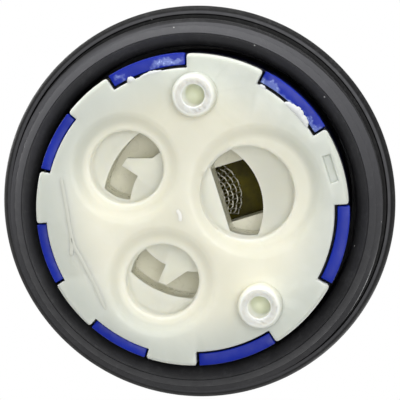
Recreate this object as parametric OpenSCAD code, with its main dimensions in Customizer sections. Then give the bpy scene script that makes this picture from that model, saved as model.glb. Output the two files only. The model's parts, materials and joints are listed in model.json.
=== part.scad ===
// Ceramic disc cartridge for a single lever mixer tap.
// The base face lies on Z = 0 and the lever stands on the +Z side.
// The outlet port lies towards +Y and the two inlet ports towards -Y.

/* [Base] */
// Radius of the base flange, which the walls inside and the ring outside follow
base_r = 18.3; // [18:0.1:19]
// Step of the base flange outside the housing skirt
base_proud = 0.1; // [0.05:0.05:0.2]
// Thickness of the base flange
base_flange_t = 2.6; // [2.4:0.1:3.2]
// Chamfer round the lower edge of the base flange
base_chamfer = 0.3; // [0.1:0.1:0.5]
// Wall of the base outside the fixed disc
base_wall_t = 1.45; // [1.2:0.05:1.6]
// Height of that wall above the seat of the fixed disc
base_wall_h = 2.4; // [1.6:0.1:3]
// Depth of the port pockets below the base face
port_depth = 3.4; // [2.8:0.1:4]
// Thickness of the floor behind the port pockets
port_floor_t = 1.8; // [1.6:0.1:2.4]

/* [Inlet ports] */
// Distance of each inlet port from the axis
inlet_dist = 9.1; // [8.9:0.05:9.3]
// Angle between the inlet side of the symmetry plane and each inlet port
inlet_angle = 50; // [49:0.5:52]
// Radius of an inlet port pocket
inlet_r = 4.3; // [4:0.05:4.4]
// Radius of the funnel at the mouth of an inlet port
inlet_mouth_r = 6.3; // [5.8:0.1:6.4]
// Inner radius of the kidney opening, from the axis
kidney_in_r = 7.6; // [7.4:0.1:7.9]
// Outer radius of the kidney opening, from the axis
kidney_out_r = 10.9; // [10.5:0.1:11]
// Radius that the tongue in the kidney opening reaches, from the axis
tongue_tip_r = 9.8; // [9.2:0.1:10.2]
// Width of the tongue at its tip
tongue_tip_w = 1; // [0.6:0.1:1.4]

/* [Outlet port] */
// Distance of the outlet port from the axis
outlet_dist = 6.75; // [6.6:0.05:6.9]
// Radius of the outlet port pocket
outlet_r = 5.5; // [5.3:0.05:5.6]
// Distance of the outlet funnel from the axis
outlet_mouth_dist = 7.9; // [7.7:0.05:8]
// Radius of the funnel at the mouth of the outlet port
outlet_mouth_r = 7.6; // [7.3:0.1:7.7]
// Distance of the straight edge of the outlet opening from the axis
outlet_chord = 3.15; // [3:0.05:3.4]
// Outer radius of the outlet opening, from the axis
outlet_arc_r = 8.15; // [7.9:0.05:8.4]
// Depth of the three port funnels
mouth_depth = 0.8; // [0.5:0.1:1.2]
// Radial narrowing of a funnel over its depth
mouth_taper = 1.2; // [0.8:0.1:1.4]

/* [Locating pegs] */
// Radius of a locating peg
peg_r = 2.55; // [2.3:0.05:2.7]
// Length of a locating peg below the base face
peg_h = 2.2; // [1.5:0.1:3]
// Radius of the blind hole in a peg
peg_hole_r = 1.3; // [1:0.05:1.5]
// Depth of the blind hole in a peg
peg_hole_depth = 3; // [2:0.1:4]
// Distance of each peg from the axis
peg_dist = 13.6; // [13.4:0.05:13.8]
// Angle between the outlet side of the symmetry plane and each peg
peg_angle = 70.8; // [70:0.2:72]

/* [Housing] */
// Wall of the housing skirt
skirt_t = 1.9; // [1.7:0.1:2.1]
// Height of the housing shoulder that the screw ring bears on
shoulder_z = 13.6; // [13.4:0.1:14.4]
// Width of the shoulder
shoulder_w = 1; // [0.8:0.05:1.1]
// Wall of the housing above the shoulder
upper_t = 1.28; // [1.2:0.02:1.4]
// Thickness of the housing roof
roof_t = 2.6; // [2:0.1:3.4]
// Radius of the housing neck
neck_r = 12.2; // [11.8:0.1:12.8]
// Height of the neck above the O-ring groove
neck_land = 1.2; // [0.8:0.1:2]
// Count of gusset ribs round the neck
gusset_n = 8; // [4:1:12]
// Thickness of a gusset rib
gusset_t = 1.4; // [1:0.1:2]
// Height of a gusset rib on the neck
gusset_h = 3; // [2:0.1:4]

/* [Snap tabs] */
// Angle that a wide snap tab spans
wide_tab_span = 29.5; // [26:0.5:31]
// Angle that a narrow guide tab spans
narrow_tab_span = 22.5; // [20:0.5:25]
// Angle between neighbouring narrow tabs
narrow_tab_pitch = 43.5; // [42:0.5:46]
// Radial width of the hook at the end of a wide tab
hook_w = 1.65; // [1.5:0.05:1.75]
// Height of the hook
hook_h = 0.85; // [0.6:0.05:1]
// Radial width of a wide tab above its hook
tab_t = 1.1; // [0.9:0.05:1.25]
// Radial width of a narrow tab
narrow_tab_t = 0.95; // [0.8:0.05:1.1]
// Depth of the tab ends behind the base face
tab_end_z = 0.35; // [0.2:0.05:0.6]
// Gap between a tab and its notch in the base
tab_gap = 0.25; // [0.15:0.05:0.3]

/* [Discs] */
// Thickness of the fixed disc
fixed_disc_t = 3.6; // [3.2:0.1:4]
// Gap that is left between the moving disc and the housing at the end of its stroke
disc_side_gap = 0.43; // [0.35:0.02:0.6]
// Thickness of the moving disc
moving_disc_t = 3.4; // [3:0.1:4]
// Radius of the inlet end of the mixing slot, from the axis
mix_r = 6.3; // [6:0.1:6.5]
// Half width of the inlet end of the mixing slot
mix_half_w = 4.9; // [4.6:0.1:5]
// Reach of the wide end of the mixing slot towards the outlet
mix_wide_y = 2.9; // [2.6:0.1:3]
// Half width of the outlet end of the mixing slot
slot_half_w = 3.4; // [3.2:0.05:3.5]
// Reach of the mixing slot towards the outlet
slot_end_y = 8.9; // [8.6:0.1:9.2]
// Width of the key notches in the rims of both discs
key_w = 3; // [2.5:0.1:3.5]

/* [Carrier] */
// Step of the disc carrier inside the moving disc
carrier_step = 0.4; // [0.3:0.05:0.5]
// Height of the disc carrier
carrier_h = 8.4; // [8.2:0.1:9]
// Depth of the mixing chamber in the carrier
chamber_depth = 2.1; // [1.8:0.1:2.2]
// Distance of the guide rails from the symmetry plane
rail_x = 9.5; // [9.2:0.1:9.8]
// Width of a guide rail
rail_w = 2; // [1.6:0.1:2.4]
// Height of a guide rail
rail_h = 1.6; // [1.2:0.1:1.8]

/* [Seals] */
// Width of the rubber port seals
port_seal_w = 1.2; // [1:0.1:1.3]
// Depth of the seal grooves in the base
port_seal_t = 1; // [0.8:0.05:1.1]
// Distance from a port opening to its seal groove
port_seal_land = 0.6; // [0.5:0.05:0.65]
// Width of the carrier seal
carrier_seal_w = 1.2; // [1:0.1:1.4]
// Thickness of the carrier seal
carrier_seal_t = 0.9; // [0.7:0.05:1]
// Distance from the mixing chamber to the carrier seal
carrier_seal_land = 0.8; // [0.6:0.05:1]
// Section diameter of the sleeve O-ring
o_ring_d = 1.5; // [1.3:0.05:1.6]

/* [Silencer mesh] */
// Radius of the curve that the mesh strip follows
mesh_r = 3.2; // [3:0.05:3.4]
// Distance of the crown of the mesh strip from the axis
mesh_crown_y = 3.3; // [3.2:0.05:3.6]
// Thickness of the woven strip
mesh_t = 0.4; // [0.3:0.05:0.5]
// Lean of the strip between its lower and upper edge
mesh_lean = 1.7; // [1.2:0.05:1.9]

/* [Guide sleeve] */
// Radius of the sleeve in the housing neck
sleeve_r = 9.2; // [9.1:0.05:9.4]
// Gap between the sleeve flange and the housing
sleeve_flange_gap = 1.42; // [0.5:0.02:1.6]
// Thickness of the sleeve flange
sleeve_flange_t = 2.6; // [2.2:0.1:3.2]
// Height of the sleeve above the housing neck
sleeve_rise = 2.5; // [2.3:0.1:3]
// Half length of the lever slot
lever_slot_half = 5.7; // [5.6:0.05:5.8]
// Thickness of the slip ring
slip_ring_t = 0.8; // [0.6:0.1:1.2]
// Turn of the sleeve to the hot and to the cold side
turn_half = 50; // [40:1:50]

/* [Lever] */
// Lean of the closed lever from the axis
lever_lean = 12.5; // [11:0.5:13]
// Length from the pin to the ball centre
lever_arm = 10.5; // [10.3:0.1:10.8]
// Radius of the ball end
ball_r = 2.6; // [2.5:0.05:2.7]
// Width of the shank along the pin
shank_x = 7.6; // [7.2:0.1:7.8]
// Depth of the shank across the pin
shank_y = 7; // [6.6:0.1:7.1]
// Length of the shank above the pin
shank_len = 24; // [20:0.5:32]
// Radius of the lever pin
pin_r = 1.5; // [1.3:0.05:1.6]
// Core radius of the handle screw hole
screw_hole_r = 2.1; // [1.65:0.05:2.5]
// Depth of the handle screw hole
screw_hole_depth = 12; // [8:0.5:14]

/* [Screw ring] */
// Gap between the ring and the housing skirt
ring_gap = 0.75; // [0.5:0.05:1]
// Width of the screw ring flange outside the thread
ring_flange_w = 1.4; // [1.1:0.1:2.5]
// Thickness of the screw ring flange
ring_flange_t = 2.4; // [1.8:0.1:3]
// Height of the underside of the flange above the base face
ring_flange_z = 8.05; // [7.6:0.05:8.6]
// Height of the straight rim of that flange
ring_rim_t = 0.6; // [0.4:0.1:1]
// Radial taper of the back of that flange
ring_back_taper = 0.4; // [0.2:0.1:0.6]
// Wall of the ring from its bore to the crest of the thread
thread_wall = 3.15; // [2.8:0.05:3.6]
// Height of the lower end of the thread above the base face
thread_z = 4.3; // [3.6:0.1:5]
// Pitch of the thread
thread_pitch = 1.5; // [1.2:0.1:1.6]
// Depth of the thread
thread_depth = 0.7; // [0.4:0.05:0.75]
// Width of the nose of the ring outside its bore
ring_nose_w = 1.55; // [1.2:0.05:1.8]
// Height of the nose of the ring above the base face
ring_nose_z = 3.1; // [2.8:0.1:3.4]
// Wall of the ring from its bore to the flats of the spanner hexagon
ring_hex_wall = 1.05; // [0.8:0.05:1.1]
// Thickness of the lip that bears on the housing shoulder
ring_lip_t = 2.8; // [2:0.1:4]

/* [Fits] */
// Running clearance on the radius
run_gap = 0.06; // [0.03:0.01:0.1]
// Clearance on the radius of a pin that stays put
pin_gap = 0.02; // [0.01:0.01:0.04]
// Gap between pieces that pass each other
pass_gap = 0.3; // [0.25:0.05:0.35]
// Gap between flat faces that slide
slide_gap = 0.05; // [0.02:0.01:0.1]
// Gap between the lapped faces of the discs
lap_gap = 0.02; // [0.01:0.01:0.04]

/* [Hidden] */
$fn = 96;

// Heights, from the base face upwards
seat_z = port_depth + port_floor_t;
base_wall_top = seat_z + base_wall_h;
fixed_disc_top = seat_z + fixed_disc_t;
moving_disc_z = fixed_disc_top + lap_gap;
carrier_z = moving_disc_z + moving_disc_t;
chamber_roof_z = carrier_z + chamber_depth;
carrier_top = carrier_z + carrier_h;
sleeve_z = carrier_top + 2 * slide_gap;
sleeve_flange_top = sleeve_z + sleeve_flange_t;
slip_ring_z = sleeve_flange_top + slide_gap;
roof_z = slip_ring_z + slip_ring_t;
roof_top = roof_z + roof_t;

// The ball swings lowest when the lever stands upright
chamber_floor_t = 1.2;
ball_gap = 0.2;
ball_low_z = chamber_roof_z + chamber_floor_t + ball_gap;
pin_z = ball_low_z + ball_r + lever_arm;
socket_r = ball_r + ball_gap;
stroke_half = lever_arm * sin(lever_lean);

// The neck covers the pin and the O-ring above it
o_ring_groove_h = o_ring_d + pass_gap;
o_ring_z = pin_z + pin_r + neck_land / 2 + o_ring_groove_h / 2;
neck_top = o_ring_z + o_ring_groove_h / 2 + neck_land;
sleeve_top = neck_top + sleeve_rise;

// Radii of the stacked walls, from the base flange inwards
skirt_r = base_r - base_proud;
skirt_bore_r = skirt_r - skirt_t;
spigot_r = skirt_bore_r - pass_gap;
fixed_pocket_r = spigot_r - base_wall_t;
fixed_disc_r = fixed_pocket_r - pass_gap / 2;
moving_disc_r = skirt_bore_r - stroke_half - disc_side_gap;
carrier_r = moving_disc_r - carrier_step;
upper_r = skirt_r - shoulder_w;
upper_bore_r = upper_r - upper_t;
sleeve_flange_r = upper_bore_r - sleeve_flange_gap;
bore_step_z = carrier_z + pass_gap;
neck_bore_r = sleeve_r + run_gap;
roof_chamfer = 1.2;
neck_chamfer = 0.5;
base_step_gap = 0.1;
skirt_z = base_flange_t + base_step_gap;

// Snap tabs and their notches
wide_tab_angles = [-90, -30, 30, 90];
narrow_tab_angles = [180 - narrow_tab_pitch, 180, 180 + narrow_tab_pitch];
hook_top_z = tab_end_z + hook_h;
tab_relief_z = skirt_z + tab_gap;
notch_margin = asin(tab_gap / skirt_r);

// Step between the wall of a port pocket and the opening in its floor
opening_step = 0.2;

// Flare of the tongue on the side of the outlet, in degrees
tongue_flare = 33;

// Both sides of the symmetry plane, and how far a cut runs past a face
sides = [-1, 1];
cut = 1;

// Key lugs on the base and on the carrier
key_depth = 1.2;
key_gap = 0.15;
carrier_key_h = moving_disc_t / 2;

// Guide sleeve
rail_gap = 0.15;
lever_side_gap = 0.2;
flat_depth = 0.6;
o_ring_groove_r = sleeve_r - o_ring_d - pin_gap;
sleeve_chamfer = 0.4;

// Lever hub round the pin, tapered arm and chamfered shank
hub_margin = 0.6;
hub_r = shank_y / 2 + hub_margin;
arm_ball_r = 2;
arm_hub_r = 3.1;
shank_chamfer = 0.8;
shank_corner_r = sqrt(shank_x * shank_x + shank_y * shank_y) / 2;
shank_tip_r = 3.7;

// Limit ring and its stops on the housing neck
limit_ring_t = 2;
limit_ring_w = 1.4;
limit_ring_r = sleeve_r + limit_ring_w;
limit_tab_half = 7;
stop_margin = 1.5;
stop_span = 14;
stop_h = 2;

// Mould mark between the outlet funnel and the rim
mark_w = 3.2;
mark_h = 0.9;
mark_depth = 0.35;
mark_y = (outlet_mouth_dist + outlet_mouth_r + base_r) / 2;

// Screw ring
ring_bore_r = skirt_r + ring_gap;
ring_nose_r = ring_bore_r + ring_nose_w;
thread_r = ring_bore_r + thread_wall;
thread_core_r = thread_r - thread_depth;
thread_flank = thread_depth * tan(30);
thread_crest = 0.3;
thread_turns = floor((ring_flange_z - thread_z - thread_crest - thread_flank) / thread_pitch);
ring_flange_r = thread_r + ring_flange_w;
ring_hex_r = (ring_bore_r + ring_hex_wall) / cos(30);
ring_lip_z = shoulder_z + slide_gap;
ring_lip_r = upper_r + pass_gap;
ring_top = ring_lip_z + ring_lip_t;
ring_bore_chamfer_h = 1;
ring_edge = 0.55;

// Colours
natural = [0.88, 0.88, 0.80];
blue = [0.10, 0.16, 0.62];
black = [0.12, 0.12, 0.12];
ceramic = [0.93, 0.92, 0.88];
olive = [0.16, 0.15, 0.08];
rubber = [0.08, 0.08, 0.08];
steel = [0.72, 0.72, 0.70];
brass = [0.72, 0.70, 0.64];
white = [0.95, 0.95, 0.95];
grey = [0.55, 0.57, 0.58];
red = [0.75, 0.12, 0.10];

// A block of a ring, centred on the +Y direction
module ring_block(r_in, r_out, z0, z1, half) {
    rotate([0, 0, 90 - half]) rotate_extrude(angle = 2 * half)
        translate([r_in, z0]) square([r_out - r_in, z1 - z0]);
}

// A straight ring between two heights
module ring_tube(r_in, r_out, z0, z1) {
    translate([0, 0, z0]) linear_extrude(z1 - z0) annulus(r_in, r_out);
}

// Moves what lies on the +Y axis to an inlet port
module at_inlet(side) {
    rotate([0, 0, 180 + side * inlet_angle]) translate([0, inlet_dist]) children();
}

// Moves what lies on the +Y axis to a locating peg
module at_peg(side) {
    rotate([0, 0, -side * peg_angle]) translate([0, peg_dist]) children();
}

// Turns what lies on the +X side to either side
module to_side(side) {
    rotate([0, 0, side > 0 ? 0 : 180]) children();
}

// A ring between two radii, centred on the axis
module annulus(r_in, r_out) {
    difference() {
        circle(r_out);
        circle(r_in);
    }
}

// Outline of one kidney opening, grown evenly for its seal
module kidney(side, grow = 0) {
    intersection() {
        annulus(kidney_in_r - grow, kidney_out_r + grow);
        at_inlet(side) circle(inlet_r - opening_step + grow);
    }
}

// Tongue that stands into a kidney opening, steep on the side of the symmetry plane
module tongue(side) {
    half = tongue_tip_w / 2;
    root = kidney_in_r - cut;
    spread = half + (tongue_tip_r - root) * tan(tongue_flare);
    rotate([0, 0, 180 + side * inlet_angle]) mirror([side > 0 ? 1 : 0, 0])
        polygon([[-half, root], [spread, root], [half, tongue_tip_r], [-half, tongue_tip_r]]);
}

// Outline of the outlet opening, grown evenly for its seal
module outlet_opening(grow = 0) {
    intersection() {
        circle(outlet_arc_r + grow);
        translate([0, outlet_dist]) circle(outlet_r - opening_step + grow);
        translate([-base_r, outlet_chord - grow]) square(2 * base_r);
    }
}

// Outline of the mixing slot, grown evenly for its seal
module mixing_slot(grow = 0) {
    half = mix_half_w + grow;
    intersection() {
        circle(mix_r + grow);
        translate([-half, -base_r]) square([2 * half, base_r + mix_wide_y + grow]);
    }
    translate([-slot_half_w - grow, 0]) square([2 * (slot_half_w + grow), slot_end_y + grow]);
}

// Funnel at the mouth of a port
module mouth(r) {
    translate([0, 0, -cut]) cylinder(h = cut, r = r);
    cylinder(h = mouth_depth, r1 = r, r2 = r - mouth_taper);
}

// Notches in the base flange for the snap tabs
module tab_notches() {
    for (a = wide_tab_angles) rotate([0, 0, a]) {
        half = wide_tab_span / 2 + notch_margin;
        ring_block(skirt_r - hook_w - tab_gap, base_r + cut, -cut, hook_top_z + tab_gap, half);
        ring_block(skirt_r - tab_t - tab_gap, base_r + cut, -cut, base_flange_t + cut, half);
    }
    for (a = narrow_tab_angles) rotate([0, 0, a])
        ring_block(skirt_r - narrow_tab_t - tab_gap, base_r + cut, -cut, base_flange_t + cut,
            narrow_tab_span / 2 + notch_margin);
}

// Everything that is cut away for the two inlets and the outlet
module ports() {
    for (side = sides) {
        at_inlet(side) mouth(inlet_mouth_r);
        at_inlet(side) cylinder(h = port_depth, r = inlet_r);
        translate([0, 0, port_depth - slide_gap]) linear_extrude(port_floor_t + cut) difference() {
            kidney(side);
            tongue(side);
        }
        port_seal_groove() kidney_seal(side, slide_gap);
    }
    translate([0, outlet_mouth_dist, 0]) mouth(outlet_mouth_r);
    translate([0, outlet_dist, 0]) cylinder(h = port_depth, r = outlet_r);
    translate([0, 0, port_depth - slide_gap]) linear_extrude(port_floor_t + cut) outlet_opening();
    port_seal_groove() outlet_seal_outline(slide_gap);
}

// Outline of an inlet seal, with some room round it when it is a groove
module kidney_seal(side, room = 0) {
    difference() {
        kidney(side, port_seal_land + port_seal_w + room);
        kidney(side, port_seal_land - room);
    }
}

// Outline of the outlet seal, with some room round it when it is a groove
module outlet_seal_outline(room = 0) {
    difference() {
        outlet_opening(port_seal_land + port_seal_w + room);
        outlet_opening(port_seal_land - room);
    }
}

// Cut for a rubber seal in the seat of the fixed disc
module port_seal_groove() {
    translate([0, 0, seat_z - port_seal_t]) linear_extrude(port_seal_t + cut) children();
}

// Rubber seal that fills such a cut up to the disc
module port_seal() {
    translate([0, 0, seat_z - port_seal_t]) linear_extrude(port_seal_t) children();
}

// Base of the cartridge, seen from below in use: ports, pegs and rim notches
module base_plate() {
    color(natural) difference() {
        union() {
            rotate_extrude() polygon([[0, 0], [base_r - base_chamfer, 0], [base_r, base_chamfer],
                [base_r, base_flange_t], [spigot_r, base_flange_t], [spigot_r, base_wall_top],
                [fixed_pocket_r, base_wall_top], [fixed_pocket_r, seat_z], [0, seat_z]]);
            for (side = sides) at_peg(side) peg();
            for (side = sides) to_side(side) base_key();
        }
        tab_notches();
        ports();
        for (side = sides) at_peg(side) translate([0, 0, -peg_h - cut])
            cylinder(h = peg_hole_depth + cut, r = peg_hole_r);
        translate([-mark_w / 2, mark_y - mark_h / 2, -cut]) cube([mark_w, mark_h, mark_depth + cut]);
    }
}

// Hollow peg with a chamfered tip
module peg() {
    rotate_extrude() polygon([[0, -peg_h], [peg_r - base_chamfer, -peg_h], [peg_r, base_chamfer - peg_h],
        [peg_r, base_flange_t / 2], [0, base_flange_t / 2]]);
}

// Lug that keys the fixed disc to the base
module base_key() {
    translate([fixed_disc_r - key_depth, -key_w / 2, seat_z - cut])
        cube([key_depth + (spigot_r - fixed_disc_r) / 2, key_w, base_wall_h + cut]);
}

// What is cut from the lower end of the skirt to leave the seven tabs
module tab_cuts() {
    difference() {
        ring_tube(skirt_bore_r - cut, skirt_r + cut, tab_end_z - cut, skirt_z);
        for (a = wide_tab_angles) rotate([0, 0, a]) tab_block(wide_tab_span);
        for (a = narrow_tab_angles) rotate([0, 0, a]) tab_block(narrow_tab_span);
    }
    for (a = wide_tab_angles) rotate([0, 0, a]) {
        half = wide_tab_span / 2 + notch_margin;
        ring_block(skirt_bore_r - cut, skirt_r - hook_w, tab_end_z - cut, hook_top_z + tab_gap, half);
        ring_block(skirt_bore_r - cut, skirt_r - tab_t, hook_top_z, tab_relief_z, half);
    }
    for (a = narrow_tab_angles) rotate([0, 0, a])
        ring_block(skirt_bore_r - cut, skirt_r - narrow_tab_t, tab_end_z - cut, tab_relief_z,
            narrow_tab_span / 2 + notch_margin);
}

// Block round one tab, thicker and taller than the skirt's lower end
module tab_block(span) {
    ring_block(skirt_bore_r - 2 * cut, skirt_r + 2 * cut, tab_end_z - 2 * cut, skirt_z + cut, span / 2);
}

// Gusset ribs between the roof and the neck
module gussets() {
    reach = upper_r - roof_chamfer - gusset_t / 2;
    root = neck_bore_r + cut;
    slope = gusset_h / (reach - neck_r);
    for (i = [0 : gusset_n - 1]) rotate([90, 0, 360 * (i + 0.5) / gusset_n])
        translate([0, 0, -gusset_t / 2]) linear_extrude(gusset_t)
            polygon([[root, roof_top - cut], [reach + cut / slope, roof_top - cut],
                [root, roof_top + (reach - root) * slope]]);
}

// Stops for the tab of the limit ring, on the top of the neck
module turn_stops() {
    middle = turn_half + limit_tab_half + stop_margin + stop_span / 2;
    for (side = sides) rotate([0, 0, 180 + side * middle])
        ring_block(limit_ring_r + pass_gap, neck_r - neck_chamfer / 2, neck_top - cut, neck_top + stop_h,
            stop_span / 2);
}

// Blue housing: skirt with snap tabs, shoulder, roof and neck
module cartridge_housing() {
    color(blue) {
        difference() {
            housing_shell();
            tab_cuts();
        }
        gussets();
        turn_stops();
    }
}

// Turned form of the housing, before the tabs are cut
module housing_shell() {
    rotate_extrude() polygon([[skirt_bore_r, tab_end_z], [skirt_r, tab_end_z], [skirt_r, shoulder_z],
        [upper_r, shoulder_z], [upper_r, roof_top - roof_chamfer], [upper_r - roof_chamfer, roof_top],
        [neck_r, roof_top], [neck_r, neck_top - neck_chamfer], [neck_r - neck_chamfer, neck_top],
        [neck_bore_r, neck_top], [neck_bore_r, roof_z], [upper_bore_r, roof_z],
        [upper_bore_r, bore_step_z], [skirt_bore_r, bore_step_z]]);
}

// Outline of the thread from its lower end to the flange, with a level ridge for each turn
function ring_ridges() = [for (turn = [0:thread_turns]) let (z = thread_z + turn * thread_pitch)
    each [[thread_r, z], [thread_r, z + thread_crest], [thread_core_r, z + thread_crest + thread_flank],
        [thread_core_r, turn == thread_turns ? ring_flange_z : z + thread_pitch - thread_flank]]];

// Black screw ring: chamfered nose, thread, flange and spanner hexagon
module screw_ring() {
    color(black) difference() {
        union() {
            rotate_extrude() polygon([[ring_bore_r, ring_nose_z + ring_bore_chamfer_h],
                [ring_nose_r, ring_nose_z], each ring_ridges(),
                [ring_flange_r - ring_edge, ring_flange_z], [ring_flange_r, ring_flange_z + ring_edge],
                [ring_flange_r, ring_flange_z + ring_edge + ring_rim_t],
                [ring_flange_r - ring_back_taper, ring_flange_z + ring_flange_t],
                [ring_bore_r, ring_flange_z + ring_flange_t]]);
            translate([0, 0, ring_flange_z + ring_edge])
                cylinder(h = ring_top - ring_flange_z - ring_edge, r = ring_hex_r, $fn = 6);
        }
        translate([0, 0, ring_nose_z - cut]) cylinder(h = ring_lip_z - ring_nose_z + cut, r = ring_bore_r);
        translate([0, 0, ring_lip_z - cut]) cylinder(h = ring_lip_t + 2 * cut, r = ring_lip_r);
    }
}

// Lower ceramic disc with the three ports
module fixed_disc() {
    color(ceramic) difference() {
        translate([0, 0, seat_z]) cylinder(h = fixed_disc_t, r = fixed_disc_r);
        translate([0, 0, seat_z - cut]) linear_extrude(fixed_disc_t + 2 * cut) {
            for (side = sides) kidney(side);
            outlet_opening();
        }
        for (side = sides) translate([side * fixed_disc_r, 0, 0]) disc_key(seat_z, fixed_disc_t);
    }
}

// Notch in the rim of a disc for a key lug
module disc_key(z, t) {
    translate([-key_depth - key_gap, -key_w / 2 - key_gap, z - cut])
        cube([2 * (key_depth + key_gap), key_w + 2 * key_gap, t + 2 * cut]);
}

// Upper ceramic disc with the mixing slot, drawn back to the closed end of its stroke
module moving_disc() {
    color(ceramic) difference() {
        translate([0, stroke_half, moving_disc_z]) cylinder(h = moving_disc_t, r = moving_disc_r);
        translate([0, 0, moving_disc_z - cut]) linear_extrude(moving_disc_t + 2 * cut) mixing_slot();
        for (side = sides) translate([side * moving_disc_r, stroke_half, 0])
            disc_key(moving_disc_z, moving_disc_t);
    }
}

// Carrier that slides the moving disc: mixing chamber below, ball socket and rail grooves above
module disc_carrier() {
    rail_room = rail_w + 2 * rail_gap;
    color(olive) difference() {
        union() {
            translate([0, stroke_half, carrier_z]) cylinder(h = carrier_h, r = carrier_r);
            translate([0, stroke_half, 0]) for (side = sides) to_side(side) carrier_key();
        }
        translate([0, 0, carrier_z - cut]) linear_extrude(chamber_depth + cut) mixing_slot();
        translate([0, 0, carrier_z - cut]) linear_extrude(carrier_seal_t + cut)
            carrier_seal_outline(slide_gap);
        translate([0, stroke_half, chamber_roof_z + chamber_floor_t])
            cylinder(h = carrier_h, r = socket_r);
        for (side = sides) translate([side * rail_x - rail_room / 2, -2 * base_r,
            carrier_top - rail_h - rail_gap]) cube([rail_room, 4 * base_r, rail_h + rail_gap + cut]);
    }
}

// Lug that keys the moving disc to the carrier
module carrier_key() {
    intersection() {
        translate([moving_disc_r - key_depth, -key_w / 2, carrier_z - carrier_key_h])
            cube([key_depth, key_w, carrier_key_h + cut]);
        cylinder(h = carrier_top, r = carrier_r);
    }
}

// Outline of the carrier seal, with some room round it when it is a groove
module carrier_seal_outline(room = 0) {
    difference() {
        mixing_slot(carrier_seal_land + carrier_seal_w + room);
        mixing_slot(carrier_seal_land - room);
    }
}

// Rubber seal between the moving disc and the carrier
module carrier_seal() {
    color(rubber) translate([0, 0, carrier_z]) linear_extrude(carrier_seal_t) carrier_seal_outline();
}

// Curved strip of woven wire across the mixing slot
module silencer_mesh() {
    half = asin((slot_half_w - 2 * slide_gap) / (mesh_r + mesh_lean));
    z0 = moving_disc_z + pass_gap;
    z1 = chamber_roof_z - slide_gap;
    color(steel) translate([0, mesh_crown_y - mesh_r, 0]) rotate([0, 0, 90 - half])
        rotate_extrude(angle = 2 * half) polygon([[mesh_r - mesh_t, z0], [mesh_r, z0],
            [mesh_r + mesh_lean, z1], [mesh_r + mesh_lean - mesh_t, z1]]);
}

// Rubber seals round the three openings in the seat
module hot_inlet_seal() {
    color(rubber) port_seal() kidney_seal(-1);
}

module cold_inlet_seal() {
    color(rubber) port_seal() kidney_seal(1);
}

module outlet_seal() {
    color(rubber) port_seal() outlet_seal_outline();
}

// Low friction washer under the housing roof
module slip_ring() {
    color(white) translate([0, 0, slip_ring_z]) linear_extrude(slip_ring_t)
        annulus(neck_bore_r + pass_gap, sleeve_flange_r);
}

// Turning sleeve: flange with two guide rails, neck with O-ring groove and lever slot
module guide_sleeve() {
    slot_x = shank_x + 2 * lever_side_gap;
    groove_z = o_ring_z - o_ring_groove_h / 2;
    color(grey) difference() {
        union() {
            rotate_extrude() polygon([[0, sleeve_z], [sleeve_flange_r, sleeve_z],
                [sleeve_flange_r, sleeve_flange_top], [sleeve_r, sleeve_flange_top], [sleeve_r, groove_z],
                [o_ring_groove_r, groove_z], [o_ring_groove_r, groove_z + o_ring_groove_h],
                [sleeve_r, groove_z + o_ring_groove_h], [sleeve_r, sleeve_top - sleeve_chamfer],
                [sleeve_r - sleeve_chamfer, sleeve_top], [0, sleeve_top]]);
            intersection() {
                for (side = sides)
                    translate([side * rail_x - rail_w / 2, -sleeve_flange_r, sleeve_z - rail_h])
                        cube([rail_w, 2 * sleeve_flange_r, rail_h + sleeve_flange_t / 2]);
                translate([0, 0, sleeve_z - rail_h])
                    cylinder(h = 2 * rail_h + sleeve_flange_t, r = sleeve_flange_r);
            }
        }
        translate([-slot_x / 2, -lever_slot_half, sleeve_z - cut])
            cube([slot_x, 2 * lever_slot_half, sleeve_top - sleeve_z + 2 * cut]);
        translate([0, 0, pin_z]) rotate([0, 90, 0])
            cylinder(h = 4 * sleeve_r, r = pin_r + pin_gap, center = true);
        for (side = sides) translate([side * (2 * sleeve_r - flat_depth), 0, neck_top + sleeve_top])
            cube([2 * sleeve_r, 4 * sleeve_r, 2 * sleeve_top], center = true);
    }
}

// Rubber ring between the sleeve and the housing neck
module guide_o_ring() {
    color(rubber) translate([0, 0, o_ring_z]) rotate_extrude()
        translate([sleeve_r - o_ring_d / 2, 0]) circle(d = o_ring_d);
}

// Steel pin, held in the sleeve by the neck round it
module lever_pin() {
    pin_half = sleeve_r - pass_gap;
    color(steel) translate([0, 0, pin_z]) rotate([0, 90, 0])
        cylinder(h = 2 * pin_half, r = pin_r, center = true);
}

// Lever: square shank for the handle, hub on the pin, arm and ball end
module lever() {
    color(brass) translate([0, 0, pin_z]) rotate([lever_lean, 0, 0]) difference() {
        union() {
            rotate([0, 90, 0]) cylinder(h = shank_x, r = hub_r, center = true);
            translate([-shank_x / 2, -shank_y / 2, 0]) cube([shank_x, shank_y, shank_len - shank_chamfer]);
            intersection() {
                translate([-shank_x / 2, -shank_y / 2, shank_len - shank_chamfer])
                    cube([shank_x, shank_y, shank_chamfer]);
                shank_tip();
            }
            translate([0, 0, -lever_arm]) cylinder(h = lever_arm, r1 = arm_ball_r, r2 = arm_hub_r);
            translate([0, 0, -lever_arm]) sphere(ball_r);
        }
        rotate([0, 90, 0]) cylinder(h = 2 * shank_x, r = pin_r + run_gap, center = true);
        translate([0, 0, shank_len - screw_hole_depth])
            cylinder(h = screw_hole_depth + cut, r = screw_hole_r);
    }
}

// Cone that chamfers the top edges of the shank
module shank_tip() {
    translate([0, 0, shank_len - shank_chamfer])
        cylinder(h = shank_chamfer, r1 = shank_corner_r, r2 = shank_tip_r);
}

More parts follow.
